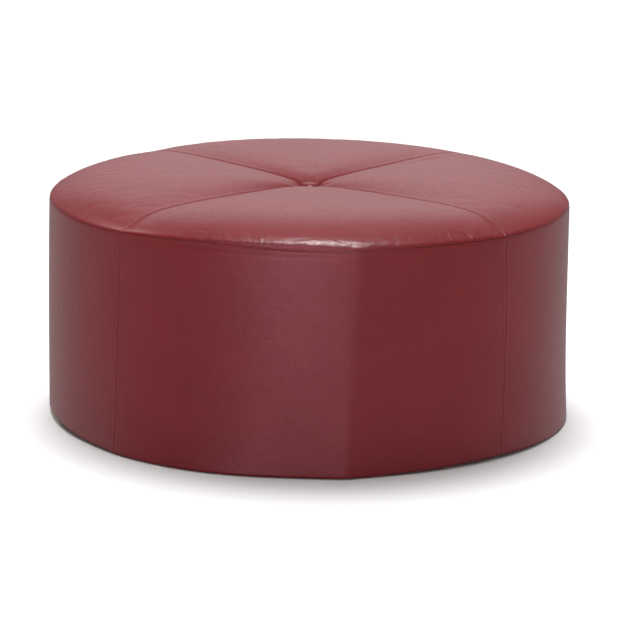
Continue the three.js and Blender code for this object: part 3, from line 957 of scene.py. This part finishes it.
def make_staples(steel):
    """The staples in the dust cover's edge, each turned a little."""
    low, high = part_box("dust_cover")
    level = (low.z + high.z) / 2
    # millimetres along the staple and above its crown, and the corners of its wire's section
    path = ((-5.2, 2.5), (-5, 0.2), (-4.6, 0), (4.6, 0), (5, 0.2), (5.2, 2.5))
    wire = ((-0.45, -0.25), (0.45, -0.25), (0.45, 0.25), (-0.45, 0.25))
    points, faces = [], []
    for k in range(STAPLES):
        angle = 360 / STAPLES * (k + 0.5)
        lean = radians(angle + rng.uniform(-12, 12))
        centre = place(high.x - 7 * MM, angle, level - 0.9 * MM)
        run = np.array([cos(lean), sin(lean), 0])
        side = np.array([-sin(lean), cos(lean), 0])
        up = np.array([0, 0, 1])
        rings = [[centre + (run * x + side * a + up * (rise + b)) * MM for a, b in wire] for x, rise in path]
        add_bar(points, faces, rings)
    return [(mesh_piece("dust_cover_staples", points, faces, steel), "zinc_steel")]


# ---------------------------------------------------------------- camera, light and floor
# brightness of the room that the leather mirrors, low down, high up at the back and sides, and overhead
ROOM_FRONT = 0.26
ROOM_SIDE = 0.76
ROOM_BACK = 0.58
CEILING = 0.8
CEILING_SIDE = 0.42
HIGH_SIDE = 0.35
HIGH_BACK = 1.1
HIGH_RIGHT = 1.25


def make_camera():
    """A long lens from a little above, almost straight in front."""
    distance = 12 * RADIUS
    elevation, azimuth, roll = radians(13.15), radians(-1.2), radians(0.96)
    aim = np.array([4.1 * MM, 0, 0.3905 * RADIUS])
    back = np.array([sin(azimuth) * cos(elevation), -cos(azimuth) * cos(elevation), sin(elevation)])
    data = bpy.data.cameras.new("camera")
    camera = bpy.data.objects.new("camera", data)
    bpy.context.scene.collection.objects.link(camera)
    data.sensor_width = 36
    data.lens = 179.2
    camera.location = aim + back * distance
    camera.rotation_euler = (pi / 2 - elevation, 0, azimuth)
    camera.rotation_euler.rotate_axis("Z", roll)
    bpy.context.scene.camera = camera


def area_light(name, location, target, size, power, colour=(1, 1, 1)):
    """A light that shows only as a reflection."""
    data = bpy.data.lights.new(name, "AREA")
    data.shape = "RECTANGLE"
    data.size, data.size_y = size
    data.energy = power
    data.color = colour
    light = bpy.data.objects.new(name, data)
    light.location = location
    light.rotation_euler = (Vector(target) - Vector(location)).to_track_quat("-Z", "Y").to_euler()
    light.visible_diffuse = False
    bpy.context.scene.collection.objects.link(light)


def soft_sun(name, power, spread, tilt, lean):
    """A broad light without a reflection, turned from straight above by a tilt about X and a lean about Y."""
    data = bpy.data.lights.new(name, "SUN")
    data.energy = power
    data.angle = radians(spread)
    light = bpy.data.objects.new(name, data)
    light.rotation_euler = (radians(tilt), radians(lean), 0)
    light.visible_glossy = False
    bpy.context.scene.collection.objects.link(light)


def make_room():
    """What the leather mirrors: a dim room in front, pale walls behind and beside, and a bright ceiling."""
    world = bpy.data.worlds.new("studio")
    world.use_nodes = True
    bpy.context.scene.world = world
    tree = world.node_tree
    split = add(tree, "SeparateXYZ", Vector=add(tree, "TexCoord").outputs["Generated"]).outputs
    x, y, z = (span(tree, split[axis], 0, 1, -1, 1) for axis in "XYZ")
    # the walls are dimmer at the horizon, and dark right below
    walls = ramp(tree, y, [(0.3, ROOM_FRONT), (0.62, ROOM_SIDE), (0.94, ROOM_SIDE), (0.975, ROOM_BACK)])
    horizon = ramp(tree, z, [(0.24, 0.1), (0.37, 1.0), (0.4, 1.0), (0.47, 0.62), (0.52, 0.52)])
    low = mixed(tree, 1.0, walls, horizon, "MULTIPLY")
    # above the horizon only the middle of the back wall is bright
    across = ramp(tree, x, [(0.29, HIGH_SIDE), (0.46, HIGH_BACK), (0.53, HIGH_RIGHT), (0.71, HIGH_SIDE)])
    facing = ramp(tree, y, [(0.3, ROOM_FRONT), (0.62, 1.0)])
    above = mixed(tree, 1.0, across, facing, "MULTIPLY")
    high = mixed(tree, span(tree, split["Z"], 0, 1, 0.03, 0.17), low, above)
    # the ceiling is dimmer towards the two sides
    ceiling = ramp(tree, x, [(0.2, CEILING_SIDE), (0.34, CEILING), (0.66, CEILING), (0.8, CEILING_SIDE)])
    room = mixed(tree, span(tree, split["Z"], 0, 1, 0.6, 0.85), high, ceiling)
    tree.links.new(room, tree.nodes["Background"].inputs["Color"])
    tree.nodes["Background"].inputs["Strength"].default_value = 1.0


def make_studio():
    """The floor, the room and the four lights."""
    bpy.context.scene.view_settings.view_transform = "Standard"
    bpy.ops.mesh.primitive_plane_add(size=60)
    floor = bpy.context.object
    floor.name = "floor"
    floor.data.materials.append(floor_material())
    floor.visible_glossy = False
    make_room()
    area_light("key", (0.16, -1.85, 2.88), (0, -0.4, 0.4), (0.85, 1.3), 165)
    area_light("front_fill", (-0.62, -4.0, 0.3), (0, 0, 0.25), (2.3, 1.2), 46, (1, 0.74, 0.9))
    # these two reach the floor and the leather's own colour, and leave no reflection
    soft_sun("overhead", 2.85, 27, -15.1, -1.8)
    soft_sun("from_front", 0.62, 20, 86, 0)


# ---------------------------------------------------------------- assembly
make_camera()
make_studio()
leather = leather_material()
foam = foam_material()
wadding = fibre_material("polyester_wadding", (0.62, 0.61, 0.57), (0.9, 0.9, 0.87), 60, 0.95, 2)
steel = steel_material()
cloth = dust_cloth_material()
red = [(0.3, (0.05, 0.004, 0.006)), (0.8, (0.12, 0.01, 0.013))]
linen = [(0.2, (0.4, 0.33, 0.2)), (0.8, (0.7, 0.62, 0.42))]
thread = cord_material("red_thread", 900, red, 0.45, (0.5, 0.1 * MM))
twine = cord_material("waxed_twine", 260, linen, 0.6, (0.8, 0.3 * MM), 1)
finish_frame({
    "cover_leather": leather, "foam": foam, "batting": wadding, "zinc_steel": steel, "dust_cloth": cloth,
    "plywood": plywood_material(), "pine": wood_material("sawn_pine", PINE_DARK, PINE_LIGHT, "z"),
    "hardboard": fibre_material("pressed_hardboard", (0.1, 0.055, 0.025), (0.24, 0.14, 0.07), 120, 0.7, 0.3),
    "twine": twine, "black_plastic": plastic_material(),
}, wood_material("sawn_pine_lying", PINE_DARK, PINE_LIGHT, "y"))
WRINKLES = simulate_crown()
made = []
for k, name in enumerate(PLACES):
    made.append((make_top(name, 90.0 * k, leather), "cover_leather"))
    made.append((make_side(name, 90.0 * k, leather), "cover_leather"))
made += make_crown_stuffing(foam, wadding) + make_seat_foam(foam) + make_side_foam(foam)
made += make_button(leather) + stitch_seams(thread) + make_dust_cover(cloth) + make_staples(steel)
for piece, slot in made:
    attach(piece, "root")
